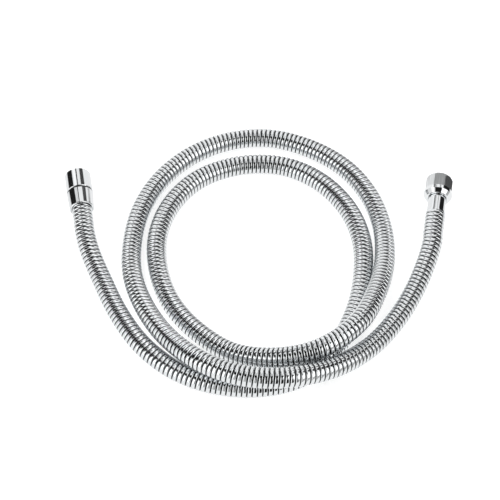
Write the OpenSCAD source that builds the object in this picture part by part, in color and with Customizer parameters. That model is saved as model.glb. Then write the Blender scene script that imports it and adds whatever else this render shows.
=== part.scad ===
// Ribbed metal sprayer hose, about 1.9 m long with its fittings, with a swivelling cone nut on the
// sprayer end and an octagonal coupling nut on the tap end, lying loosely coiled.
// Millimetres. +Z is up, the hose and both nuts rest on z = 0.
// Each end fitting is drawn along its own axis: z = 0 is where the metal hose stops,
// and +z points out of the mouth.

/* [Metal hose] */
// Outside diameter over the ribs
hose_od = 17; // [15:0.1:17.2]
// Wall of the metal hose, from its bore to the ribs' crowns
hose_wall = 1.8; // [1.7:0.05:2]
// Depth of the groove between two ribs
rib_depth = 0.8; // [0.3:0.1:0.9]
// Number of ribs along the hose
rib_count = 176; // [160:2:200]

/* [Inner hose] */
// Free space round the rubber hose inside the metal hose
liner_gap = 1.1; // [1.05:0.05:1.2]
// Wall of the rubber hose that carries the water
inner_wall = 1.2; // [0.9:0.05:1.4]

/* [Barbs and bushes] */
// Wall of the barbed tails at the foot of their teeth
barb_wall = 0.8; // [0.6:0.05:1]
// Height of the teeth
barb_tooth = 0.35; // [0.2:0.05:0.5]
// Length of each barbed tail inside the rubber hose
barb_len = 8; // [6:0.5:10]
// Length of each crimp bush inside the metal hose
bush_grip = 8; // [6:0.5:10]
// Width of the collar that closes each end of the metal hose
collar_w = 1.5; // [1:0.1:2]

/* [Thread G 1/2] */
// Crest diameter of the female thread
thread_minor_d = 18.6; // [18.4:0.05:18.7]
// Depth of the lead-in chamfer at each mouth
thread_chamfer = 0.9; // [0.3:0.1:1]
// Relief behind the thread, on the radius
thread_relief = 0.3; // [0.1:0.1:0.4]

/* [Cone end] */
// Wall of the cone nut outside the thread's crests
cone_wall = 1.8; // [1.6:0.1:2.6]
// Length of the cone nut
cone_nut_len = 19; // [16:0.5:22]
// Length of the sleeve
cone_sleeve_len = 16.6; // [16.4:0.2:22]
// Length of hose inside the sleeve
sleeve_grip = 7.4; // [6:0.2:7.6]
// Groove between nut and sleeve, which a rubber ring fills
cone_groove = 1.4; // [0.8:0.1:2]
// How deep that ring lies under the nut's surface
cone_ring_depth = 0.4; // [0.3:0.1:1.2]
// Free space round the hose in the sleeve's mouth
sleeve_mouth_gap = 0.6; // [0.4:0.1:1.2]
// Depth of that mouth
sleeve_mouth_depth = 4; // [2:0.5:5]
// Wall of the sleeve round its mouth
sleeve_wall = 1.2; // [1:0.1:2]
// Rounding of the sleeve's lip
sleeve_lip = 0.9; // [0.5:0.1:0.9]

/* [Swivel] */
// Diameter of the swivel spigot
spigot_d = 9.8; // [9.4:0.1:10.4]
// Section of the O-rings
o_ring_section = 1.3; // [1:0.05:1.4]
// Thickness of the snap ring
snap_t = 0.8; // [0.6:0.1:1]
// Width of the snap ring, on the radius
snap_w = 1.1; // [0.8:0.1:1.2]
// Opening of the snap ring
snap_gap_angle = 50; // [20:5:90]

/* [Coupling nut end] */
// Wall of the octagonal nut outside the thread's crests, at its flats
nut_side_wall = 1.9; // [1.7:0.1:2.6]
// Length of the nut
nut_len = 20.6; // [18:0.1:24]
// Length of the tapered nose at the nut's mouth
nut_nose = 2.6; // [1:0.1:3.5]
// How far that nose tapers in, on the radius
nut_nose_taper = 1.1; // [0.4:0.1:1.2]
// Height of the round collar behind the flats, over the flats
nut_collar_step = 0.8; // [0.5:0.1:0.9]
// Length of that collar
nut_collar_len = 3.5; // [2:0.1:5]
// Length of the tapered shoulder behind the collar
nut_shoulder = 3.6; // [2:0.1:5]
// How far the shoulder tapers in, on the radius
nut_shoulder_taper = 2.3; // [1:0.1:2.5]
// How much smaller than the hose the ferrule is, on the radius
ferrule_step = 0.9; // [0.5:0.05:1.1]
// Wall of the ferrule round the tailpiece's shank
ferrule_wall = 0.85; // [0.7:0.05:1]
// Length of the ferrule, with its collar
ferrule_len = 17.9; // [16:0.1:24]
// Length of the ferrule's bore that takes the rubber hose and its bush
ferrule_socket = 9; // [8:0.5:12]
// Length of ferrule that the nut's recess covers
ferrule_cover = 0.8; // [0.5:0.1:1.2]
// Free space round the ferrule in that recess
recess_gap = 0.6; // [0.3:0.1:0.8]

/* [Tailpieces and washers] */
// Free space between the sealing flange and the thread's crests, on the radius
flange_play = 0.4; // [0.2:0.05:0.6]
// Width of the flange's shoulder, from the neck to its rim
flange_shoulder = 2.2; // [1.8:0.05:2.4]
// Thickness of the sealing flange
flange_t = 1.5; // [1.4:0.1:2.4]
// Inner wall of each nut that bears on the flange
nut_wall = 1.5; // [1.4:0.1:2.4]
// Plastic glide ring between nut and flange
glide_t = 0.6; // [0.5:0.1:1]
// Thickness of the sealing washer
washer_t = 2; // [1.5:0.1:2.5]
// Free space between the washer and the thread's crests, on the radius
washer_play = 0.2; // [0.1:0.05:0.4]
// Width of the washer's ring
washer_w = 3.6; // [2.5:0.1:4.5]

/* [Clearances] */
// Between turning faces, on the radius
run_gap = 0.08; // [0.05:0.01:0.1]
// Between faces that meet end to end
face_gap = 0.05; // [0.02:0.01:0.1]
// Round pieces that are pressed or crimped together
seat_gap = 0.04; // [0.02:0.01:0.05]
// Between the sleeve's bore and the hose, on the radius
sleeve_gap = 0.35; // [0.2:0.05:0.6]

/* [Hidden] */

smooth = 96;
edge = 0.4;

// ---- The route of the hose, and where it rests --------------------------------------
// A faceted hose is cut flat by a tenth of its diameter where it lies on the floor.
rest_cut = hose_od / 10;
lay = hose_od / 2 - rest_cut;
thread_r = thread_minor_d / 2;
cone_r = thread_r + cone_wall;
nut_flat_r = thread_r + nut_side_wall;
nut_collar_r = nut_flat_r + nut_collar_step;
cone_lift = cone_r - lay;
nut_lift = nut_collar_r - lay;
// x, y and lift above the floor lay, from the cone end to the coupling nut.
route = [
    [-148.8, 53.1, cone_lift], [-145.6, 33.9, cone_lift], [-143.5, 21.3, cone_lift], [-138.1, 2.1, 2.8],
    [-127.5, -23.4, 0.2], [-112.6, -56.3, 0], [-92.4, -87.1, 0], [-65.9, -110.5, 0],
    [-32.9, -124.3, 0], [4.2, -126.4, 0], [38.2, -114.8, 0], [62.7, -88.2, 0],
    [78.6, -54.2, 0], [86.1, -19.1, 0], [86.1, 17, 0], [75.4, 51, 0],
    [53.1, 79.7, 0], [22.3, 96.7, 0], [-13.8, 97.8, 0], [-47.8, 83.9, 0],
    [-71.2, 57.4, 0], [-82.9, 23.4, 0], [-81.8, -12.8, 0], [-70.1, -46.8, 0],
    [-47.8, -75.4, 0], [-18.1, -97.8, 3.2], [18.1, -107.3, 12.2], [52.1, -100.9, 18.6],
    [79.7, -77.6, 18.6], [95.6, -43.6, 12.2], [104.1, -7.4, 4.8], [104.1, 29.8, 0.5],
    [94.6, 64.8, 0], [75.4, 94.6, 0], [45.7, 116.9, 0], [10.6, 128.6, 0],
    [-24.4, 125.4, 0], [-56.3, 109.4, 0], [-81.8, 82.9, 0], [-97.8, 49.9, 0],
    [-104.1, 13.8, 0], [-102, -22.3, 1.6], [-89.2, -58.4, 5.8], [-69.1, -90.3, 11.2],
    [-41.4, -115.8, 17], [-9.6, -128.6, 18.6], [25.5, -128.6, 17.5], [59.5, -115.8, 11.2],
    [88.2, -92.4, 3.7], [110.5, -63.8, 0], [126.4, -36.1, 0.4], [137.1, -11.7, 3.2],
    [143.5, 7.5, nut_lift], [145.6, 20.1, nut_lift], [148.8, 39.3, nut_lift]];

steps = 12;
last = len(route) - 1;
lifted = [for (p = route) [p.x, p.y, p.z + lay]];
stops = concat([2 * lifted[0] - lifted[1]], lifted, [2 * lifted[last] - lifted[last - 1]]);

function blend(a, b, c, d, t) =
    (2 * b + (c - a) * t + (2 * a - 5 * b + 4 * c - d) * t * t
     + (3 * b - a - 3 * c + d) * t * t * t) / 2;

line = concat(
    [for (i = [1:last]) for (k = [0:steps - 1])
        blend(stops[i - 1], stops[i], stops[i + 1], stops[i + 2], k / steps)],
    [lifted[last]]);
run = [for (i = 0, s = 0; i < len(line);
            s = s + (i + 1 < len(line) ? norm(line[i + 1] - line[i]) : 0), i = i + 1) s];
hose_len = run[len(run) - 1];
along_x = [for (i = [0:len(line) - 1]) [run[i], line[i].x]];
along_y = [for (i = [0:len(line) - 1]) [run[i], line[i].y]];
along_z = [for (i = [0:len(line) - 1]) [run[i], line[i].z]];

function unit(v) = v / norm(v);
cone_out = unit(lifted[0] - lifted[1]);
nut_out = unit(lifted[last] - lifted[last - 1]);

// Centre of the hose at length s; past either end it goes straight on.
function centre(s) =
    s < 0 ? lifted[0] - s * cone_out
    : s > hose_len ? lifted[last] + (s - hose_len) * nut_out
    : [lookup(s, along_x), lookup(s, along_y), lookup(s, along_z)];

sides = 8;
flat = cos(180 / sides);
reach = 1;

// One ring of the hose, square to its line, a flat side down and never below z = 0.
function ring(s, r) =
    let (c = centre(s),
         t = unit(centre(s + reach) - centre(s - reach)),
         across = unit([t.y, -t.x, 0]),
         up = cross(across, t))
    [for (k = [0:sides - 1])
        let (a = (k + 0.5) * 360 / sides,
             p = c + r * cos(a) * across + r * sin(a) * up)
        [p.x, p.y, max(p.z, 0)]];

function flatten(rings) = [for (one = rings) each one];

// Side walls of a tube of rings; turned swaps inside and outside.
function walls(count, first, turned) =
    [for (i = [0:count - 2]) for (k = [0:sides - 1])
        let (a = first + i * sides + k,
             b = first + i * sides + (k + 1) % sides,
             c = a + sides,
             d = b + sides)
        each (turned ? [[a, b, c], [b, d, c]] : [[a, c, b], [b, c, d]])];

// Flat annulus between one outer ring and one bore ring.
function annulus(outer, bore, turned) =
    [for (k = [0:sides - 1])
        let (a = outer + k,
             b = outer + (k + 1) % sides,
             c = bore + k,
             d = bore + (k + 1) % sides)
        each (turned ? [[a, c, b], [b, c, d]] : [[a, b, c], [b, d, c]])];

module hollow_hose(outer, bore) {
    n = len(outer);
    m = len(bore);
    inside = n * sides;
    polyhedron(
        points = concat(flatten(outer), flatten(bore)),
        faces = concat(
            walls(n, 0, false),
            walls(m, inside, true),
            annulus(0, inside, false),
            annulus((n - 1) * sides, inside + (m - 1) * sides, true)),
        convexity = 20);
}

// ---- Radii and places that the pieces share -----------------------------------------
hose_r = hose_od / 2;
bore_r = hose_r - hose_wall;
inner_r = bore_r - liner_gap;
inner_bore_r = inner_r - inner_wall;
bush_in_r = inner_r + seat_gap;
bush_out_r = bore_r * flat - seat_gap;
barb_r = inner_bore_r * flat - seat_gap;
barb_root_r = barb_r - barb_tooth;
water_r = barb_root_r - barb_wall;
ferrule_r = hose_r - ferrule_step;
shank_r = ferrule_r - ferrule_wall;
flange_r = thread_r - flange_play;
neck_r = flange_r - flange_shoulder;
neck_hole_r = neck_r + run_gap;
washer_r = thread_r - washer_play;
relief_r = thread_r + thread_relief;
spigot_r = spigot_d / 2;
socket_r = spigot_r + run_gap;

// Cone end
sleeve_front_z = cone_sleeve_len - sleeve_grip;
cone_rear_z = sleeve_front_z + cone_groove;
cone_mouth_z = cone_rear_z + cone_nut_len;
sleeve_mouth_r = hose_r + sleeve_mouth_gap;
sleeve_tail_r = sleeve_mouth_r + sleeve_wall;
sleeve_bore_r = hose_r + sleeve_gap;
barb_body_z = face_gap + collar_w + face_gap;
barb_front_z = sleeve_front_z - 0.2;
socket_floor_z = barb_body_z + 0.6;
spigot_end_z = socket_floor_z + 0.2;
neck_back_z = barb_front_z + 0.1;
swivel_run = neck_back_z - spigot_end_z;
snap_z = spigot_end_z + swivel_run * 0.16;
o_ring_rear_z = spigot_end_z + swivel_run * 0.46;
o_ring_front_z = spigot_end_z + swivel_run * 0.76;
o_ring_r = o_ring_section / 2;
o_ring_mid_r = spigot_r - o_ring_r;
o_groove_r = o_ring_mid_r - o_ring_r - face_gap;
o_groove_w = o_ring_section + 0.2;
snap_out_r = spigot_r + snap_w / 2;
snap_in_r = spigot_r - snap_w / 2;
snap_slot = snap_t + 2 * face_gap;

// Coupling nut end
ferrule_back_z = face_gap + collar_w + face_gap;
nut_rear_z = ferrule_len - ferrule_cover;
nut_mouth_z = nut_rear_z + nut_len;
recess_depth = 2 * ferrule_cover;
collar_front_z = nut_rear_z + nut_shoulder + nut_collar_len;
inner_tail = ferrule_socket - 0.5;

// Places along a nut, counted from the hose-side face of its inner wall.
function glide_z(wall_z) = wall_z + nut_wall + face_gap;
function flange_z(wall_z) = glide_z(wall_z) + glide_t + face_gap;
function seal_z(wall_z) = flange_z(wall_z) + flange_t;
function thread_z(wall_z) = seal_z(wall_z) + washer_t;
cone_wall_z = cone_rear_z;
nut_wall_z = nut_rear_z + recess_depth;

module lathe(profile) rotate_extrude($fn = smooth) polygon(profile);

module pipe(r_out, r_in, from, to) lathe([[r_in, from], [r_out, from], [r_out, to], [r_in, to]]);

module on_cone_end()
    translate(lifted[0]) rotate([0, 90, atan2(cone_out.y, cone_out.x)]) children();

module on_nut_end()
    translate(lifted[last]) rotate([0, 90, atan2(nut_out.y, nut_out.x)]) children();

function arc(r, z, radius, from, to) =
    [for (i = [0:6]) let (a = from + (to - from) * i / 6) [r + radius * cos(a), z + radius * sin(a)]];

// Barbed tail, outline only: saw teeth that point away from the hose's end.
teeth = 3;
function barbs(from, to) =
    let (pitch = (to - from) / teeth)
    [for (i = [0:teeth - 1]) each [[barb_root_r, from + i * pitch], [barb_r, from + (i + 0.8) * pitch]]];

// Inside of a nut, as an outline: the mouth, the thread, its relief and the neck's hole.
function nut_inside(mouth, wall_z) = [
    [thread_r + thread_chamfer, mouth],
    [thread_r, mouth - thread_chamfer],
    [thread_r, thread_z(wall_z)],
    [relief_r, thread_z(wall_z) - thread_relief],
    [relief_r, wall_z + nut_wall],
    [neck_hole_r, wall_z + nut_wall],
    [neck_hole_r, wall_z]];

// ---- The hose -----------------------------------------------------------------------
ring_step = hose_len / (2 * rib_count);

module metal_hose() color([0.80, 0.81, 0.82])
    hollow_hose(
        [for (i = [0:2 * rib_count]) ring(i * ring_step, i % 2 == 0 ? hose_r - rib_depth : hose_r)],
        [for (i = [0:rib_count]) ring(2 * i * ring_step, bore_r)]);

inner_marks = concat(
    [-collar_w],
    [for (i = [0:2:rib_count]) 2 * i * ring_step],
    [hose_len + inner_tail]);

module inner_hose() color([0.86, 0.86, 0.84])
    hollow_hose(
        [for (s = inner_marks) ring(s, inner_r)],
        [for (s = inner_marks) ring(s, inner_bore_r)]);

// ---- Cone end -----------------------------------------------------------------------
module cone_nut() color([0.84, 0.85, 0.86])
    on_cone_end() lathe(concat(
        [[cone_r - edge, cone_rear_z], [cone_r, cone_rear_z + edge],
         [cone_r, cone_mouth_z - edge], [cone_r - edge, cone_mouth_z]],
        nut_inside(cone_mouth_z, cone_wall_z)));

module cone_sleeve() color([0.84, 0.85, 0.86])
    on_cone_end() lathe(concat(
        [[sleeve_mouth_r, -sleeve_grip]],
        arc(sleeve_tail_r - sleeve_lip, sleeve_lip - sleeve_grip, sleeve_lip, -90, 0),
        [[cone_r, sleeve_front_z - edge], [cone_r - edge, sleeve_front_z],
         [sleeve_bore_r, sleeve_front_z], [sleeve_bore_r, 0],
         [hose_r + seat_gap, 0], [hose_r + seat_gap, sleeve_mouth_depth - sleeve_grip],
         [sleeve_mouth_r, sleeve_mouth_depth - sleeve_grip]]));

module cone_tailpiece() color([0.78, 0.66, 0.38])
    on_cone_end() lathe(concat(
        [[water_r, spigot_end_z], [spigot_r, spigot_end_z]],
        [[spigot_r, snap_z - snap_slot / 2], [snap_in_r - face_gap, snap_z - snap_slot / 2],
         [snap_in_r - face_gap, snap_z + snap_slot / 2], [spigot_r, snap_z + snap_slot / 2]],
        [for (z = [o_ring_rear_z, o_ring_front_z]) each
            [[spigot_r, z - o_groove_w / 2], [o_groove_r, z - o_groove_w / 2],
             [o_groove_r, z + o_groove_w / 2], [spigot_r, z + o_groove_w / 2]]],
        [[spigot_r, neck_back_z], [neck_r, neck_back_z], [neck_r, flange_z(cone_wall_z)],
         [flange_r, flange_z(cone_wall_z)], [flange_r, seal_z(cone_wall_z)],
         [water_r, seal_z(cone_wall_z)]]));

module cone_barb() color([0.78, 0.66, 0.38])
    on_cone_end() difference() {
        lathe(concat(
            [[water_r, -barb_len]],
            barbs(-barb_len, -collar_w),
            [[barb_root_r, barb_body_z], [sleeve_bore_r - seat_gap, barb_body_z],
             [sleeve_bore_r - seat_gap, barb_front_z], [socket_r, barb_front_z],
             [socket_r, socket_floor_z], [water_r, socket_floor_z]]));
        pipe(snap_out_r + face_gap, socket_r - face_gap, snap_z - snap_slot / 2, snap_z + snap_slot / 2);
    }

module cone_crimp_bush() color([0.70, 0.71, 0.72])
    on_cone_end() pipe(bush_out_r, bush_in_r, -bush_grip, collar_w);

module cone_hose_collar() color([0.76, 0.77, 0.78])
    on_cone_end() pipe(sleeve_bore_r - seat_gap, bush_out_r + seat_gap, face_gap, face_gap + collar_w);

module cone_glide_ring() color([0.92, 0.92, 0.90])
    on_cone_end() pipe(flange_r, neck_hole_r, glide_z(cone_wall_z), glide_z(cone_wall_z) + glide_t);

module cone_washer() color([0.12, 0.12, 0.12])
    on_cone_end() pipe(washer_r, washer_r - washer_w, seal_z(cone_wall_z), thread_z(cone_wall_z));

module cone_dust_ring() color([0.10, 0.10, 0.10])
    on_cone_end() pipe(cone_r - cone_ring_depth, neck_hole_r, sleeve_front_z + face_gap, cone_rear_z - face_gap);

module o_ring(z) color([0.10, 0.10, 0.10])
    on_cone_end() rotate_extrude($fn = smooth) translate([o_ring_mid_r, z]) circle(r = o_ring_r, $fn = 24);

module swivel_o_ring_front() o_ring(o_ring_front_z);

module swivel_o_ring_rear() o_ring(o_ring_rear_z);

module swivel_snap_ring() color([0.62, 0.63, 0.65])
    on_cone_end() translate([0, 0, snap_z - snap_t / 2])
        rotate_extrude(angle = 360 - snap_gap_angle, $fn = smooth)
            translate([snap_in_r, 0]) square([snap_out_r - snap_in_r, snap_t]);

// ---- Coupling nut end ---------------------------------------------------------------
module coupling_nut() color([0.80, 0.81, 0.82])
    on_nut_end() difference() {
        union() {
            intersection() {
                translate([0, 0, collar_front_z - 1]) rotate([0, 0, 22.5])
                    cylinder(r = nut_flat_r / cos(22.5), h = nut_mouth_z - collar_front_z + 1, $fn = 8);
                lathe([
                    [0, collar_front_z - 1], [nut_collar_r, collar_front_z - 1],
                    [nut_collar_r, nut_mouth_z - nut_nose],
                    [nut_collar_r - nut_nose_taper, nut_mouth_z], [0, nut_mouth_z]]);
            }
            lathe([
                [0, nut_rear_z], [nut_collar_r - nut_shoulder_taper - edge, nut_rear_z],
                [nut_collar_r - nut_shoulder_taper, nut_rear_z + edge / 2],
                [nut_collar_r, nut_rear_z + nut_shoulder],
                [nut_collar_r, collar_front_z - edge / 2],
                [nut_collar_r - edge / 2, collar_front_z], [0, collar_front_z]]);
        }
        lathe(concat(
            [[0, nut_mouth_z + 1], [thread_r + thread_chamfer, nut_mouth_z + 1]],
            nut_inside(nut_mouth_z, nut_wall_z),
            [[ferrule_r + recess_gap, nut_wall_z], [ferrule_r + recess_gap, nut_rear_z - 1],
             [0, nut_rear_z - 1]]));
    }

module coupling_ferrule() color([0.84, 0.85, 0.86])
    on_nut_end() lathe([
        [bush_out_r + seat_gap, ferrule_back_z], [ferrule_r - edge, ferrule_back_z],
        [ferrule_r, ferrule_back_z + edge], [ferrule_r, ferrule_len - edge],
        [ferrule_r - edge, ferrule_len], [shank_r + seat_gap, ferrule_len],
        [shank_r + seat_gap, ferrule_socket - face_gap],
        [bush_out_r + seat_gap, ferrule_socket - face_gap]]);

module coupling_tailpiece() color([0.78, 0.66, 0.38])
    on_nut_end() lathe(concat(
        [[water_r, -barb_len + inner_tail]],
        barbs(inner_tail - barb_len, inner_tail - 0.5),
        [[barb_root_r, ferrule_socket], [shank_r, ferrule_socket],
         [shank_r, ferrule_len], [neck_r, ferrule_len],
         [neck_r, flange_z(nut_wall_z)], [flange_r, flange_z(nut_wall_z)],
         [flange_r, seal_z(nut_wall_z)], [water_r, seal_z(nut_wall_z)]]));

module coupling_crimp_bush() color([0.70, 0.71, 0.72])
    on_nut_end() pipe(bush_out_r, bush_in_r, -bush_grip, inner_tail);

module coupling_hose_collar() color([0.82, 0.83, 0.84])
    on_nut_end() pipe(hose_r - 0.1, bush_out_r + seat_gap, face_gap, face_gap + collar_w);

module coupling_glide_ring() color([0.92, 0.92, 0.90])
    on_nut_end() pipe(flange_r, neck_hole_r, glide_z(nut_wall_z), glide_z(nut_wall_z) + glide_t);

module coupling_washer() color([0.12, 0.12, 0.12])
    on_nut_end() pipe(washer_r, washer_r - washer_w, seal_z(nut_wall_z), thread_z(nut_wall_z));

// ---- Checks that the source prints --------------------------------------------------
// Least gap between two stretches of hose that are far apart along it.
probe = 3;
probes = [for (s = [0:probe:hose_len]) centre(s)];
apart = ceil(4 * hose_od / probe);
least_gap = min([for (i = [0:len(probes) - 1 - apart]) for (j = [i + apart:len(probes) - 1])
    norm(probes[i] - probes[j])]) - hose_od;
echo(hose_length = hose_len, least_gap_to_itself = least_gap);
echo(cone_mouth = lifted[0] + cone_mouth_z * cone_out, cone_axis = cone_out,
     nut_mouth = lifted[last] + nut_mouth_z * nut_out, nut_axis = nut_out);

metal_hose();
inner_hose();
cone_nut();
cone_sleeve();
cone_tailpiece();
cone_barb();
cone_crimp_bush();
cone_hose_collar();
cone_glide_ring();
cone_washer();
cone_dust_ring();
swivel_o_ring_front();
swivel_o_ring_rear();
swivel_snap_ring();
coupling_nut();
coupling_ferrule();
coupling_tailpiece();
coupling_crimp_bush();
coupling_hose_collar();
coupling_glide_ring();
coupling_washer();
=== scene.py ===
# %% [markdown]
# A sprayer hose in bright chrome. The real one is a steel strip, folded at both edges and wound into a
# tube so that each turn hooks into the next. It carries a rubber water hose inside, and ends in a smooth
# cone nut on one side and an octagonal coupling nut on the other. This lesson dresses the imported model:
# the fittings keep their exact solids and get their metal, and the hose is wound again, turn by turn.

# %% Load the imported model
import math

import bmesh
import bpy
import numpy as np
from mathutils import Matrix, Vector


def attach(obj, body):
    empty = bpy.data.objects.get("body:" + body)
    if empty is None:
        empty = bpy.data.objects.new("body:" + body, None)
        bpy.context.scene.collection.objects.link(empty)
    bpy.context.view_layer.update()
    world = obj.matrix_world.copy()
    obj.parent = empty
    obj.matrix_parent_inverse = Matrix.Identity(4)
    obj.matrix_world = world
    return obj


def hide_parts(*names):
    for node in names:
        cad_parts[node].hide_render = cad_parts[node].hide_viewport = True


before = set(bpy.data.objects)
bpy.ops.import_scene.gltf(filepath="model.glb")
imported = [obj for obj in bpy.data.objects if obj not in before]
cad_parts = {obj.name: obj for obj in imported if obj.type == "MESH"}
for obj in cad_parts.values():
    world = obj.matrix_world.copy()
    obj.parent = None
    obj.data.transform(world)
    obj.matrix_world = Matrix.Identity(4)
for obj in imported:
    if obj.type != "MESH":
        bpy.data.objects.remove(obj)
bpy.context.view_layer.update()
MM = 0.001

# %% [markdown]
# The camera comes first, because the hose is checked against what the camera sees. It stands in front
# of the hose and looks down at 53 degrees, from 1.33 m, through a long lens, which keeps the loops from
# spreading towards the viewer.

# %% Camera
LOOK_AT = Vector((-6.4, 11.7, 0)) * MM
CAMERA_ELEVATION = math.radians(53)
CAMERA_DISTANCE = 1328 * MM
LENS = 114.75  # mm, as is the sensor's width
SENSOR_WIDTH = 36
CLIP_START = 0.01  # m


def place_camera():
    data = bpy.data.cameras.new("camera")
    data.lens = LENS
    data.sensor_width = SENSOR_WIDTH
    data.clip_start = CLIP_START
    camera = bpy.data.objects.new("camera", data)
    bpy.context.scene.collection.objects.link(camera)
    back = Vector((0, -math.cos(CAMERA_ELEVATION), math.sin(CAMERA_ELEVATION)))
    camera.location = LOOK_AT + CAMERA_DISTANCE * back
    camera.rotation_euler = (math.pi / 2 - CAMERA_ELEVATION, 0, 0)
    bpy.context.scene.camera = camera
    print("camera at", [round(v, 3) for v in camera.location])


place_camera()

# %% [markdown]
# The hose follows one smooth line. Its points are the same ones that the solid follows, in millimetres:
# out of the cone end, down to the floor, once round the small loop, up over itself in a long low hump,
# once round the large loop, over itself again, and up into the coupling nut. The heights are lifts above
# the line of a hose that lies on the floor.

# %% Route of the hose
HOSE_R = 8.5
REST_CUT = HOSE_R / 5  # taken off the underside where the hose rests on the floor
LAY = HOSE_R - REST_CUT  # height of its centre there
CONE_R = 11.1  # the widest radius of either fitting, which rests on the floor too
NUT_R = 12.0
CONE_LIFT = CONE_R - LAY
NUT_LIFT = NUT_R - LAY
ROUTE = [
    (-148.8, 53.1, CONE_LIFT), (-145.6, 33.9, CONE_LIFT), (-143.5, 21.3, CONE_LIFT),
    (-138.1, 2.1, 2.8), (-127.5, -23.4, 0.2), (-112.6, -56.3, 0), (-92.4, -87.1, 0),
    (-65.9, -110.5, 0), (-32.9, -124.3, 0), (4.2, -126.4, 0), (38.2, -114.8, 0),
    (62.7, -88.2, 0), (78.6, -54.2, 0), (86.1, -19.1, 0), (86.1, 17, 0), (75.4, 51, 0),
    (53.1, 79.7, 0), (22.3, 96.7, 0), (-13.8, 97.8, 0), (-47.8, 83.9, 0), (-71.2, 57.4, 0),
    (-82.9, 23.4, 0), (-81.8, -12.8, 0), (-70.1, -46.8, 0), (-47.8, -75.4, 0),
    (-18.1, -97.8, 3.2), (18.1, -107.3, 12.2), (52.1, -100.9, 18.6), (79.7, -77.6, 18.6),
    (95.6, -43.6, 12.2), (104.1, -7.4, 4.8), (104.1, 29.8, 0.5), (94.6, 64.8, 0),
    (75.4, 94.6, 0), (45.7, 116.9, 0), (10.6, 128.6, 0), (-24.4, 125.4, 0), (-56.3, 109.4, 0),
    (-81.8, 82.9, 0), (-97.8, 49.9, 0), (-104.1, 13.8, 0), (-102, -22.3, 1.6),
    (-89.2, -58.4, 5.8), (-69.1, -90.3, 11.2), (-41.4, -115.8, 17), (-9.6, -128.6, 18.6),
    (25.5, -128.6, 17.5), (59.5, -115.8, 11.2), (88.2, -92.4, 3.7), (110.5, -63.8, 0),
    (126.4, -36.1, 0.4), (137.1, -11.7, 3.2), (143.5, 7.5, NUT_LIFT), (145.6, 20.1, NUT_LIFT),
    (148.8, 39.3, NUT_LIFT),
]
STEPS = 12  # points from one stop to the next


def smooth_line(stops):
    """A Catmull-Rom curve through the stops, as points in millimetres."""
    stops = np.array(stops, float)
    stops = np.vstack([2 * stops[0] - stops[1], stops, 2 * stops[-1] - stops[-2]])
    t = (np.arange(STEPS) / STEPS)[:, None]
    spans = []
    for a, b, c, d in zip(stops, stops[1:], stops[2:], stops[3:]):
        bend = 2 * b + (c - a) * t + (2 * a - 5 * b + 4 * c - d) * t**2
        spans.append((bend + (3 * b - a - 3 * c + d) * t**3) / 2)
    return np.vstack(spans + [stops[-2]])


LINE = smooth_line([(x, y, lift + LAY) for x, y, lift in ROUTE])
RUN = np.concatenate([[0], np.cumsum(np.linalg.norm(np.diff(LINE, axis=0), axis=1))])
HOSE_LENGTH = RUN[-1]
print(f"hose {HOSE_LENGTH:.0f} mm long")


def centre_at(s):
    """The hose's centre at length s; past either end it goes straight on."""
    inside = np.clip(s, 0, HOSE_LENGTH)
    centre = np.stack([np.interp(inside, RUN, LINE[:, k]) for k in range(3)], -1)
    out = [LINE[0] - LINE[1], LINE[-1] - LINE[-2]]
    start, end = (v / np.linalg.norm(v) for v in out)
    return centre + (inside - s).clip(0)[..., None] * start + (s - inside).clip(0)[..., None] * end


def hose_point(s, angle, radius):
    """The point on a tube round the line: at length s, at that angle round it."""
    reach = 1.0  # mm each way, between which the line's direction is taken
    along = centre_at(s + reach) - centre_at(s - reach)
    along /= np.linalg.norm(along, axis=-1, keepdims=True)
    across = np.stack([along[..., 1], -along[..., 0], 0 * s], -1)
    across /= np.linalg.norm(across, axis=-1, keepdims=True)
    up = np.cross(across, along)
    c, n = np.cos(angle)[..., None], np.sin(angle)[..., None]
    return centre_at(s) + radius[..., None] * (c * across + n * up)


# %% [markdown]
# The strip is modelled as a true winding, because the eye follows its spiral. One profile across a turn,
# a round crown with a groove beside it, is swept round and round. Each row of the grid starts where the
# row one profile before it ended one turn earlier, so the rows join into an endless spiral. The spiral
# is made a turn too long at both ends. What sticks out is pressed flat onto the end, and merging the
# points that then coincide leaves a clean saw cut. The groove's faces get a material of their own, dull
# steel painted near black as the shade in the groove.

# %% Wound strip of the hose
TURNS = 481
SIDES = 22
PROFILE_HALF = [  # distance from a turn's middle, and height under its crown, in mm
    (0.76, 0.0), (0.93, -0.03), (1.19, -0.18), (1.43, -0.50)]
GROOVE_DEPTH = 1.15
BORE_R = 6.45
BORE_STEP = 12.0  # mm, roughly, between the rings of points along a smooth wall
MERGE = 0.002  # mm, within which two points become one
TURN = np.arange(SIDES) / SIDES  # places round the tube, as shares of a turn
PITCH = HOSE_LENGTH / TURNS


def strip_profile():
    """Places across one turn, as shares of it, and heights under the crown in mm."""
    half = np.array(PROFILE_HALF) / (PITCH, 1)
    return np.vstack([(0, -GROOVE_DEPTH), (0.5, 0) + half[::-1] * (-1, 1), (0.5, 0) + half])


PROFILE = strip_profile()
POINTS = len(PROFILE)
# the rows of the groove, whose faces get dull steel with painted shade
GROOVE_ROWS = (0, POINTS - 1)


def ring_points(s, radius):
    """Closed rings of the tube at the lengths s."""
    s = np.atleast_1d(np.asarray(s, float))
    grid = np.repeat(s[:, None], SIDES, 1)
    points = hose_point(grid, np.tile(2 * np.pi * TURN, (len(s), 1)), np.full_like(grid, radius))
    return points.reshape(-1, 3)


def height_at(turns):
    """Height of the strip where that many turns have passed."""
    share, height = PROFILE.T
    return np.interp(turns % 1, share, height, period=1)


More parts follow.
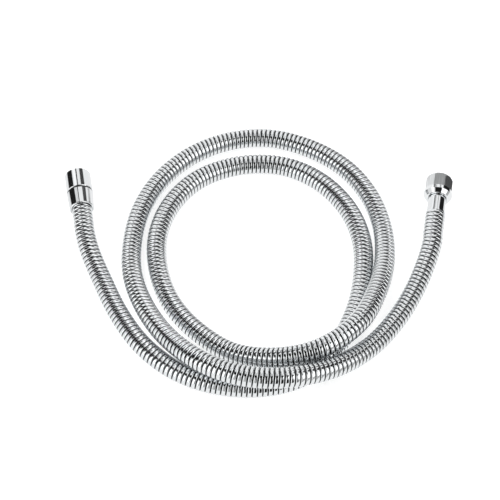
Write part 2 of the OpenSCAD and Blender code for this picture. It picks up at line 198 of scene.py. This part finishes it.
def spiral_points(rows):
    """Points of the spiral; what would stick out past an end is pressed flat onto it."""
    row = np.arange(rows)
    share, height = PROFILE.T
    turns = (row // POINTS - 1 + share[row % POINTS])[:, None] + TURN[None, :]
    kept = np.clip(turns, 0, TURNS)
    cut = height_at(kept - TURN[None, :])
    rise = np.where(kept == turns, height[row % POINTS][:, None], cut)
    return hose_point(kept * PITCH, np.tile(2 * np.pi * TURN, (rows, 1)), HOSE_R + rise).reshape(-1, 3)


def spiral_faces(rows):
    """Quads of the spiral; the last column joins the first one, one turn on."""
    row, side = np.meshgrid(np.arange(rows - 1), np.arange(SIDES), indexing="ij")
    a = row * SIDES + side
    wraps = side == SIDES - 1
    b = np.where(wraps, (row + POINTS) * SIDES, a + 1)
    c = np.where(wraps, (row + 1 + POINTS) * SIDES, a + SIDES + 1)
    whole = c < rows * SIDES
    faces = np.stack([a, b, c, a + SIDES], -1)[whole]
    return faces.tolist(), np.isin(row % POINTS, GROOVE_ROWS)[whole]


def tube_faces(count, first):
    """The wall through a number of rings, seen from its inside."""
    row, side = np.meshgrid(np.arange(count - 1), np.arange(SIDES), indexing="ij")
    a = first + row * SIDES + side
    b = first + row * SIDES + (side + 1) % SIDES
    return np.stack([a + SIDES, b + SIDES, b, a], -1).reshape(-1, 4).tolist()


def end_faces(start_ring, end_ring, first, last):
    """The flat rings that close the wall at both ends, from the outer ring to the bore's."""
    faces = []
    for k in range(SIDES):
        n = (k + 1) % SIDES
        faces.append([start_ring + n, start_ring + k, first + k, first + n])
        faces.append([end_ring + k, end_ring + n, last + n, last + k])
    return faces


def finish_mesh(name, points, faces, in_groove=None):
    """A smooth object from points in mm, never below the floor, with its faces turned outwards."""
    points = np.array(points)
    points[:, 2] = points[:, 2].clip(0)
    mesh = bpy.data.meshes.new(name)
    mesh.from_pydata((points * MM).tolist(), [], faces)
    if in_groove is not None:
        mesh.polygons.foreach_set("material_index", in_groove.astype(np.int32))
    work = bmesh.new()
    work.from_mesh(mesh)
    bmesh.ops.remove_doubles(work, verts=work.verts, dist=MERGE * MM)
    if work.calc_volume(signed=True) < 0:
        bmesh.ops.reverse_faces(work, faces=work.faces)
    for face in work.faces:
        face.smooth = True
    open_edges = sum(not e.is_manifold for e in work.edges)
    work.to_mesh(mesh)
    work.free()
    piece = bpy.data.objects.new(name, mesh)
    bpy.context.scene.collection.objects.link(piece)
    mesh.calc_loop_triangles()
    print(f"{name}: {len(mesh.loop_triangles)} triangles, {open_edges} open edges")
    return piece


def wind_strip():
    """The metal hose: the wound strip, a plain bore inside it and a flat ring at each end."""
    rows = (TURNS + 2) * POINTS
    bore_marks = np.linspace(0, HOSE_LENGTH, int(HOSE_LENGTH / BORE_STEP))
    first = rows * SIDES
    last = first + (len(bore_marks) - 1) * SIDES
    faces, in_groove = spiral_faces(rows)
    rest = tube_faces(len(bore_marks), first) + end_faces(0, (rows - 1) * SIDES, first, last)
    points = np.vstack([spiral_points(rows), ring_points(bore_marks, BORE_R)])
    in_groove = np.concatenate([in_groove, np.zeros(len(rest), bool)])
    print(f"{TURNS} turns of {PITCH:.2f} mm")
    return finish_mesh("strip_hose", points, faces + rest, in_groove)


strip_hose = wind_strip()

# %% [markdown]
# The rubber hose runs inside, from barb to barb. It is a plain smooth tube, and nobody sees it once the
# fittings are on, but it is what carries the water, so it is there and it is round.

# %% Rubber water hose
WATER_HOSE_R = 5.6
WATER_BORE_R = 4.4
CONE_TAIL = 1.5  # mm by which it goes on past either end of the metal hose
NUT_TAIL = 8.5


def pull_water_hose():
    """The rubber hose: a smooth wall outside and inside, and a flat ring at each end."""
    marks = np.linspace(-CONE_TAIL, HOSE_LENGTH + NUT_TAIL, int(HOSE_LENGTH / BORE_STEP))
    count = len(marks)
    first, last = count * SIDES, (2 * count - 1) * SIDES
    faces = [face[::-1] for face in tube_faces(count, 0)] + tube_faces(count, first)
    faces += end_faces(0, (count - 1) * SIDES, first, last)
    rings = [ring_points(marks, radius) for radius in (WATER_HOSE_R, WATER_BORE_R)]
    return finish_mesh("water_hose", np.vstack(rings), faces)


water_hose = pull_water_hose()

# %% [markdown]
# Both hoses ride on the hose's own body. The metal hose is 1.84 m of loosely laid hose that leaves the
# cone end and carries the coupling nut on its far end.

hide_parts("metal_hose")
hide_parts("inner_hose")
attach(strip_hose, "hose")
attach(water_hose, "hose")

# %% [markdown]
# Colours are written as sRGB hex values and turned to linear ones here. One helper adds a node, with its
# settings and its links, and every material below is a few calls of it.

# %% Helpers for materials


def linear(hex_code):
    """An sRGB hex colour as linear RGBA."""
    values = [int(hex_code[i:i + 2], 16) / 255 for i in (1, 3, 5)]
    return (*(v / 12.92 if v <= 0.04045 else ((v + 0.055) / 1.055) ** 2.4 for v in values), 1.0)


def add_node(tree, kind, inputs=None, **settings):
    """Adds a node. An input's value is a number, a colour, or another node's output socket."""
    node = tree.nodes.new(kind)
    for name, value in settings.items():
        setattr(node, name, value)
    for name, value in (inputs or {}).items():
        if isinstance(value, bpy.types.NodeSocket):
            tree.links.new(value, node.inputs[name])
        else:
            node.inputs[name].default_value = value
    return node


def new_material(name):
    material = bpy.data.materials.new(name)
    material.use_nodes = True
    material.node_tree.nodes.clear()
    print("material:", name)
    return material, material.node_tree


def finish_material(tree, shader):
    add_node(tree, "ShaderNodeOutputMaterial", {"Surface": shader.outputs[0]})


# %% [markdown]
# Chrome is a mirror with a cool tint. What keeps it from looking like a computer's mirror is what hands
# and polishing leave on it: faint cloudy smudges a few centimetres across, and fine marks from wiping.
# The smudges change the tint and the roughness a little. The marks are relief, and they are drawn coarser
# than real ones, which would be too fine to show.

# %% Metals
SMUDGE_FROM = 0.3  # the noise at which the roughness starts to rise, and where it is at its highest
SMUDGE_TO = 0.75
SCRATCH_STRENGTH = 0.2


def metal(name, bright, dull, rough_low, rough_high, cloud_mm, scratch_mm, scratch_depth):
    """A metal with two tints and two roughnesses, and with sizes of its smudges and marks in mm."""
    material, tree = new_material(name)
    place = add_node(tree, "ShaderNodeTexCoord")
    clouds = add_node(tree, "ShaderNodeTexNoise", {
        "Vector": place.outputs["Object"], "Scale": 1 / (cloud_mm * MM), "Detail": 3.0})
    tint = add_node(tree, "ShaderNodeMix", {
        0: clouds.outputs["Fac"], 6: linear(bright), 7: linear(dull)}, data_type="RGBA")
    rough = add_node(tree, "ShaderNodeMapRange", {
        "Value": clouds.outputs["Fac"], "From Min": SMUDGE_FROM, "From Max": SMUDGE_TO,
        "To Min": rough_low, "To Max": rough_high})
    scratches = add_node(tree, "ShaderNodeTexNoise", {
        "Vector": place.outputs["Object"], "Scale": 1 / (scratch_mm * MM), "Detail": 2.0})
    bump = add_node(tree, "ShaderNodeBump", {
        "Height": scratches.outputs["Fac"], "Distance": scratch_depth * MM,
        "Strength": SCRATCH_STRENGTH})
    shader = add_node(tree, "ShaderNodeBsdfPrincipled", {
        "Base Color": tint.outputs[2], "Metallic": 1.0, "Roughness": rough.outputs["Result"],
        "Normal": bump.outputs["Normal"]})
    finish_material(tree, shader)
    return material


# Chromed steel strip, rolled and polished: a bright mirror, a little duller where it was handled.
STRIP_CHROME = metal("strip_chrome", "#f0f2f3", "#e3e6e8", 0.02, 0.07, 30, 0.6, 0.003)
# The folded seam between two turns: unpolished steel, painted near black for the shade in the groove.
SEAM_STEEL_AND_SHADE = metal("seam_steel_painted_shade", "#2b2c2e", "#1c1d1e", 0.25, 0.40, 30, 0.6, 0.01)
# Chrome plate on turned brass: the smoothest mirror of the object.
PLATED_CHROME = metal("plated_chrome", "#eceeef", "#e2e4e6", 0.04, 0.09, 25, 0.5, 0.003)
# Bare turned brass.
BRASS = metal("brass", "#c9a653", "#b08d3f", 0.22, 0.34, 8, 0.3, 0.01)
# Zinc-plated steel bush, drawn and dull.
BUSH_STEEL = metal("bush_steel", "#b4b7ba", "#9fa2a5", 0.28, 0.38, 8, 0.3, 0.01)
# Blued spring steel wire.
SPRING_STEEL = metal("spring_steel", "#8e9297", "#74787d", 0.22, 0.32, 6, 0.3, 0.01)

# %% [markdown]
# The coupling nut is turned from bar, and its eight flats are ground afterwards, each one on its own,
# with hairlines along the nut, from the round collar to the mouth. Each flat also gets a painted shade of
# its own: some are darker, as if in shade, and some lighter, as if lit. The material turns the object's
# coordinates into the nut's own: across, along and above its axis. The angle round the axis gives the
# number of the flat, and white noise gives it its painted shade.

# %% Ground flats of the coupling nut, with their painted shade
NUT_AXIS = (LINE[-1] - LINE[-2]) / np.linalg.norm(LINE[-1] - LINE[-2])
NUT_TURN = math.atan2(NUT_AXIS[0], NUT_AXIS[1])
FLATS_FROM = 24.2  # mm from the end of the hose, where the collar ends
FLATS_SOFT = 0.3  # mm over which the ground finish sets in
FLATS = 8
# The seed is picked for the painted shade it gives: darker flats where shade falls, lighter ones where
# light falls.
PAINTED_SHADE_SEED = 1201
NOISE_RANGE = (0.2, 0.9)  # of the flats' noise, spread over the shades from the darkest flat to 1
DARKEST_PAINTED_FLAT = 0.42
HAIRLINE = 0.35  # mm across, coarser than real ones so that they show
HAIRLINE_SQUEEZE = 0.02  # of the noise along the nut: a hairline is fifty times as long as wide
LINE_RANGE = (0.35, 0.65)  # of the hairlines' noise, spread over the shades below
LINE_SHADES = (0.75, 1.15)  # what a hairline multiplies its flat's shade by
NUT_CHROME = "#eceeef"
# the colour that the painted shade mixes into the chrome of a flat
PAINTED_SHADE_DARK = "#1d1e1f"
TURNED_ROUGH = 0.06
GROUND_ROUGH = 0.30


def ground_and_shaded_nut():
    """Chrome whose flats have a painted shade each, with hairlines; turned and bright behind the flats.
    """
    material, tree = new_material("ground_and_shaded_chrome")
    shift = LINE[-1] * MM
    back = (-shift[0] * math.cos(NUT_TURN) + shift[1] * math.sin(NUT_TURN),
            -shift[0] * math.sin(NUT_TURN) - shift[1] * math.cos(NUT_TURN), -shift[2])
    place = add_node(tree, "ShaderNodeTexCoord")
    own = add_node(tree, "ShaderNodeMapping", {
        "Vector": place.outputs["Object"], "Location": back, "Rotation": (0, 0, NUT_TURN)})
    parts = add_node(tree, "ShaderNodeSeparateXYZ", {0: own.outputs[0]})
    angle = add_node(tree, "ShaderNodeMath", {
        0: parts.outputs["X"], 1: parts.outputs["Z"]}, operation="ARCTAN2")
    count = add_node(tree, "ShaderNodeMath", {
        0: angle.outputs[0], 1: FLATS / math.tau}, operation="MULTIPLY")
    nearest = add_node(tree, "ShaderNodeMath", {0: count.outputs[0]}, operation="ROUND")
    number = add_node(tree, "ShaderNodeMath", {
        0: nearest.outputs[0], 1: float(FLATS)}, operation="FLOORED_MODULO")
    seed = add_node(tree, "ShaderNodeMath", {
        0: number.outputs[0], 1: float(PAINTED_SHADE_SEED)}, operation="ADD")
    noise = add_node(tree, "ShaderNodeTexWhiteNoise", {"W": seed.outputs[0]}, noise_dimensions="1D")
    long = add_node(tree, "ShaderNodeVectorMath", {
        0: own.outputs[0],
        1: (1 / HAIRLINE / MM, HAIRLINE_SQUEEZE / HAIRLINE / MM, 1 / HAIRLINE / MM)},
        operation="MULTIPLY")
    lines = add_node(tree, "ShaderNodeTexNoise", {
        "Vector": long.outputs[0], "Scale": 1.0, "Detail": 2.0})
    # painted shade of each flat, from its white noise
    painted_flat_shade = add_node(tree, "ShaderNodeMapRange", {
        "Value": noise.outputs["Value"], "From Min": NOISE_RANGE[0], "From Max": NOISE_RANGE[1],
        "To Min": DARKEST_PAINTED_FLAT, "To Max": 1.0})
    line_shade = add_node(tree, "ShaderNodeMapRange", {
        "Value": lines.outputs["Fac"], "From Min": LINE_RANGE[0], "From Max": LINE_RANGE[1],
        "To Min": LINE_SHADES[0], "To Max": LINE_SHADES[1]})
    shade = add_node(tree, "ShaderNodeMath", {
        0: painted_flat_shade.outputs[0], 1: line_shade.outputs[0]}, operation="MULTIPLY", use_clamp=True)
    on_flats = add_node(tree, "ShaderNodeMapRange", {
        "Value": parts.outputs["Y"], "From Min": (FLATS_FROM - FLATS_SOFT) * MM,
        "From Max": FLATS_FROM * MM})
    # the flats' chrome, darkened by their painted shade and by their hairlines
    ground = add_node(tree, "ShaderNodeMix", {
        0: shade.outputs[0], 6: linear(PAINTED_SHADE_DARK), 7: linear(NUT_CHROME)}, data_type="RGBA")
    tint = add_node(tree, "ShaderNodeMix", {
        0: on_flats.outputs[0], 6: linear(NUT_CHROME), 7: ground.outputs[2]}, data_type="RGBA")
    rough = add_node(tree, "ShaderNodeMapRange", {
        "Value": on_flats.outputs[0], "To Min": TURNED_ROUGH, "To Max": GROUND_ROUGH})
    shader = add_node(tree, "ShaderNodeBsdfPrincipled", {
        "Base Color": tint.outputs[2], "Metallic": 1.0, "Roughness": rough.outputs[0]})
    finish_material(tree, shader)
    return material


GROUND_AND_SHADED_CHROME = ground_and_shaded_nut()

# %% [markdown]
# Rubber and plastic scatter light and have a fine grain from the mould or the extruder. It is drawn
# coarser here than it is, so that it shows.

# %% Rubber and plastic
MOULDED_IOR = 1.5
GRAIN_STRENGTH = 0.4


def moulded(name, light, dark, roughness, grain_mm, grain_depth):
    """Rubber or plastic between two tints, with the width and the depth of its grain in mm."""
    material, tree = new_material(name)
    place = add_node(tree, "ShaderNodeTexCoord")
    grain = add_node(tree, "ShaderNodeTexNoise", {
        "Vector": place.outputs["Object"], "Scale": 1 / (grain_mm * MM), "Detail": 4.0})
    tint = add_node(tree, "ShaderNodeMix", {
        0: grain.outputs["Fac"], 6: linear(light), 7: linear(dark)}, data_type="RGBA")
    bump = add_node(tree, "ShaderNodeBump", {
        "Height": grain.outputs["Fac"], "Distance": grain_depth * MM, "Strength": GRAIN_STRENGTH})
    shader = add_node(tree, "ShaderNodeBsdfPrincipled", {
        "Base Color": tint.outputs[2], "Roughness": roughness, "IOR": MOULDED_IOR,
        "Normal": bump.outputs["Normal"]})
    finish_material(tree, shader)
    return material


# Milky white rubber hose, extruded.
WATER_HOSE = moulded("water_hose_rubber", "#e4e3de", "#d6d4cd", 0.45, 1.5, 0.03)
# Black nitrile rubber, moulded.
SEAL_RUBBER = moulded("seal_rubber", "#1d1d1d", "#121212", 0.6, 0.8, 0.03)
# White acetal, moulded and slippery.
GLIDE_PLASTIC = moulded("glide_acetal", "#efeee9", "#e4e3dd", 0.35, 1.2, 0.01)

# %% [markdown]
# The fittings keep the exact solids that they were built as, so dressing one is only giving its mesh a
# material. The old material comes off first, because a new one behind it would never be seen. The wound
# strip gets two: chrome for its crowns, and dull steel painted near black as shade for the groove, whose
# faces were marked above.

# %% Dress the pieces
FINISH_OF = {
    "cone_nut": PLATED_CHROME, "cone_sleeve": PLATED_CHROME, "coupling_nut": GROUND_AND_SHADED_CHROME,
    "coupling_ferrule": PLATED_CHROME, "coupling_hose_collar": PLATED_CHROME,
    "cone_hose_collar": PLATED_CHROME, "cone_tailpiece": BRASS, "cone_barb": BRASS,
    "coupling_tailpiece": PLATED_CHROME, "cone_crimp_bush": BUSH_STEEL,
    "coupling_crimp_bush": BUSH_STEEL, "swivel_snap_ring": SPRING_STEEL,
    # The cone's dust ring is black rubber, and its black also stands in for the shade that falls into the
    # cone nut's groove.
    "swivel_o_ring_front": SEAL_RUBBER, "cone_dust_ring": SEAL_RUBBER,
    "swivel_o_ring_rear": SEAL_RUBBER, "cone_washer": SEAL_RUBBER,
    "coupling_washer": SEAL_RUBBER, "cone_glide_ring": GLIDE_PLASTIC,
    "coupling_glide_ring": GLIDE_PLASTIC}

for name, finish in FINISH_OF.items():
    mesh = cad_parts[name].data
    mesh.materials.clear()
    mesh.materials.append(finish)
strip_hose.data.materials.append(STRIP_CHROME)
# the groove: dull steel, painted near black as shade
strip_hose.data.materials.append(SEAM_STEEL_AND_SHADE)
water_hose.data.materials.append(WATER_HOSE)
print(len(FINISH_OF), "solids dressed")

# %% [markdown]
# The floor is plain white and keeps a soft shadow. It glows for the camera alone, so that it looks white
# without lighting the hose from below. Mirrors look past it into the studio.

# %% Floor
FLOOR_SIZE = 6.0  # m
FLOOR_DROP = 0.2  # mm under the hose, so that the two never share a plane
FLOOR_WHITE = 0.85
FLOOR_GLOW = 0.60


def lay_floor():
    bpy.ops.object.select_all(action="DESELECT")
    bpy.ops.mesh.primitive_plane_add(size=FLOOR_SIZE, location=(0, 0, -FLOOR_DROP * MM))
    floor = bpy.context.object
    floor.name = "floor"
    material, tree = new_material("floor_white")
    path = add_node(tree, "ShaderNodeLightPath")
    glow = add_node(tree, "ShaderNodeMath", {
        0: path.outputs["Is Camera Ray"], 1: FLOOR_GLOW}, operation="MULTIPLY")
    shader = add_node(tree, "ShaderNodeBsdfPrincipled", {
        "Base Color": (FLOOR_WHITE,) * 3 + (1,), "Roughness": 1.0, "Specular IOR Level": 0.0,
        "Emission Color": (1, 1, 1, 1), "Emission Strength": glow.outputs[0]})
    finish_material(tree, shader)
    floor.data.materials.append(material)
    floor.visible_glossy = False
    print(f"floor {FLOOR_SIZE:.0f} m wide")


lay_floor()

# %% [markdown]
# A mirror shows its room, so the room is half of the look of chrome. The camera sees the world white, and
# whatever isn't a mirror is lit evenly by it, but mirrors see a studio. In front stand two bright soft
# boxes, a grey wall, the end of the table and the dark shape of someone with a camera, and the room over
# them is dark. The side walls are grey, with dark upper corners. Behind the hose there are a small soft
# box and thin dark bars, and two black cards at the sides draw black stripes along everything round. A
# picture of a real room could light the hose too, but painted patches stay sharp and can be moved until
# their stripes fall right.

# %% World
# Azimuth is counted from the camera's side, with the right positive, and height from the horizon, both
# in degrees. The slant is by how much a patch's azimuth grows for each degree above its own middle. Where
# patches overlap, the later one is seen.
PLAIN_SKY = 1.0  # what mirrors see where no patch is
DIFFUSE_SKY = 0.72  # what lights everything else
PATCHES = [  # azimuth from and to, height from and to, soft edge, slant, and how bright it is there
    ("zenith", -180, 180, 78, 100, 8, 0.0, 0.6),
    ("left side of the room", -120, -76, -22, 36, 8, 0.0, 0.80),
    ("right side of the room", 84, 122, -5, 34, 8, 0.0, 0.50),
    ("upper right corner", 100, 133, 40, 65, 5, 0.0, 0.015),
    ("upper left corner", -126, -76, 29, 62, 5, 0.0, 0.015),
    ("seam over the back left", -147, -118, 45, 67, 4, -1.4, 0.015),
    ("table end", -34, 88, -4, 20, 6, 0.0, 0.45),
    ("front wall", -34, 34, 0, 54, 8, 0.0, 0.55),
    ("dark room over the camera", -86, 62, 51, 76, 6, 0.0, 0.015),
    ("left soft box", -72, -32, -4, 43, 6, 0.0, 1.6),
    ("right soft box", 32, 88, 17, 57, 6, 0.0, 1.6),
    ("someone behind the camera", -4, 27, -10, 32, 6, 0.0, 0.015),
    ("camera", -11, 18, 32, 55, 6, 0.0, 0.05),
    ("back soft box", -150, -135, 26, 48, 4, 0.0, 1.2),
    ("left card", -129.5, -112, -8, 33, 2, 0.0, 0.015),
    ("right card", 112, 134.5, -11, 41, 2, 0.0, 0.015),
    ("bar at the back right", 143, 160.5, 28, 49, 3, 0.9, 0.06),
    ("foot of that bar", 151, 168, -2, 26, 4, 0.7, 0.25),
    ("bar at the back left", -157, -152, 28, 46, 1.5, -0.6, 0.10),
    ("top of that bar", -161, -147, 46, 58, 2, 2.0, 0.02)]


def soft_range(tree, value, low, high, soft):
    """1 between low and high, falling smoothly to 0 over the soft edge round both."""
    rise = add_node(tree, "ShaderNodeMapRange", {
        "Value": value, "From Min": low - soft / 2, "From Max": low + soft / 2},
        interpolation_type="SMOOTHSTEP")
    fall = add_node(tree, "ShaderNodeMapRange", {
        "Value": value, "From Min": high + soft / 2, "From Max": high - soft / 2},
        interpolation_type="SMOOTHSTEP")
    both = add_node(tree, "ShaderNodeMath", {
        0: rise.outputs[0], 1: fall.outputs[0]}, operation="MULTIPLY")
    return both.outputs[0]


def direction_angles(tree):
    """The azimuth and the height of the direction that is looked in, in degrees."""
    way = add_node(tree, "ShaderNodeTexCoord")
    parts = add_node(tree, "ShaderNodeSeparateXYZ", {0: way.outputs["Generated"]})
    towards = add_node(tree, "ShaderNodeMath", {0: parts.outputs["Y"], 1: -1.0}, operation="MULTIPLY")
    azimuth = add_node(tree, "ShaderNodeMath", {
        0: parts.outputs["X"], 1: towards.outputs[0]}, operation="ARCTAN2")
    height = add_node(tree, "ShaderNodeMath", {0: parts.outputs["Z"]}, operation="ARCSINE")
    return [add_node(tree, "ShaderNodeMath", {0: angle.outputs[0]}, operation="DEGREES").outputs[0]
            for angle in (azimuth, height)]


def paint_world():
    world = bpy.data.worlds.new("studio")
    bpy.context.scene.world = world
    world.use_nodes = True
    tree = world.node_tree
    tree.nodes.clear()
    azimuth, height = direction_angles(tree)
    seen = (PLAIN_SKY,) * 3 + (1,)
    for name, left, right, low, high, soft, slant, value in PATCHES:
        middle = (low + high) / 2
        lean = add_node(tree, "ShaderNodeMath", {
            0: height, 1: -slant, 2: slant * middle}, operation="MULTIPLY_ADD")
        place = add_node(tree, "ShaderNodeMath", {0: azimuth, 1: lean.outputs[0]}, operation="ADD")
        inside = add_node(tree, "ShaderNodeMath", {
            0: soft_range(tree, place.outputs[0], left, right, soft),
            1: soft_range(tree, height, low, high, soft)}, operation="MULTIPLY")
        patch = add_node(tree, "ShaderNodeMix", {
            0: inside.outputs[0], 6: seen, 7: (value,) * 3 + (1,)}, data_type="RGBA")
        patch.label = name
        seen = patch.outputs[2]
    path = add_node(tree, "ShaderNodeLightPath")
    mirrored = add_node(tree, "ShaderNodeMix", {
        0: path.outputs["Is Glossy Ray"], 6: (DIFFUSE_SKY,) * 3 + (1,), 7: seen}, data_type="RGBA")
    shown = add_node(tree, "ShaderNodeMix", {
        0: path.outputs["Is Camera Ray"], 6: mirrored.outputs[2], 7: (1, 1, 1, 1)}, data_type="RGBA")
    light = add_node(tree, "ShaderNodeBackground", {"Color": shown.outputs[2], "Strength": 1.0})
    add_node(tree, "ShaderNodeOutputWorld", {"Surface": light.outputs[0]})
    print(len(PATCHES), "patches in the studio")


paint_world()

# %% [markdown]
# One wide and soft sun from the back left gives the hose its shadow. Mirrors don't see it, because they
# would show it as a bright disc.

# %% Sun
SUN_FROM = Vector((-0.55, 0.45, 1.0))
SUN_STRENGTH = 1.3
SUN_ANGLE = math.radians(35)


def hang_sun():
    data = bpy.data.lights.new("sun", "SUN")
    data.energy = SUN_STRENGTH
    data.angle = SUN_ANGLE
    sun = bpy.data.objects.new("sun", data)
    sun.rotation_euler = SUN_FROM.to_track_quat("Z", "Y").to_euler()
    sun.visible_glossy = False
    bpy.context.scene.collection.objects.link(sun)
    print("sun from", [round(v, 2) for v in SUN_FROM])


hang_sun()
bpy.context.scene.view_settings.view_transform = "Standard"
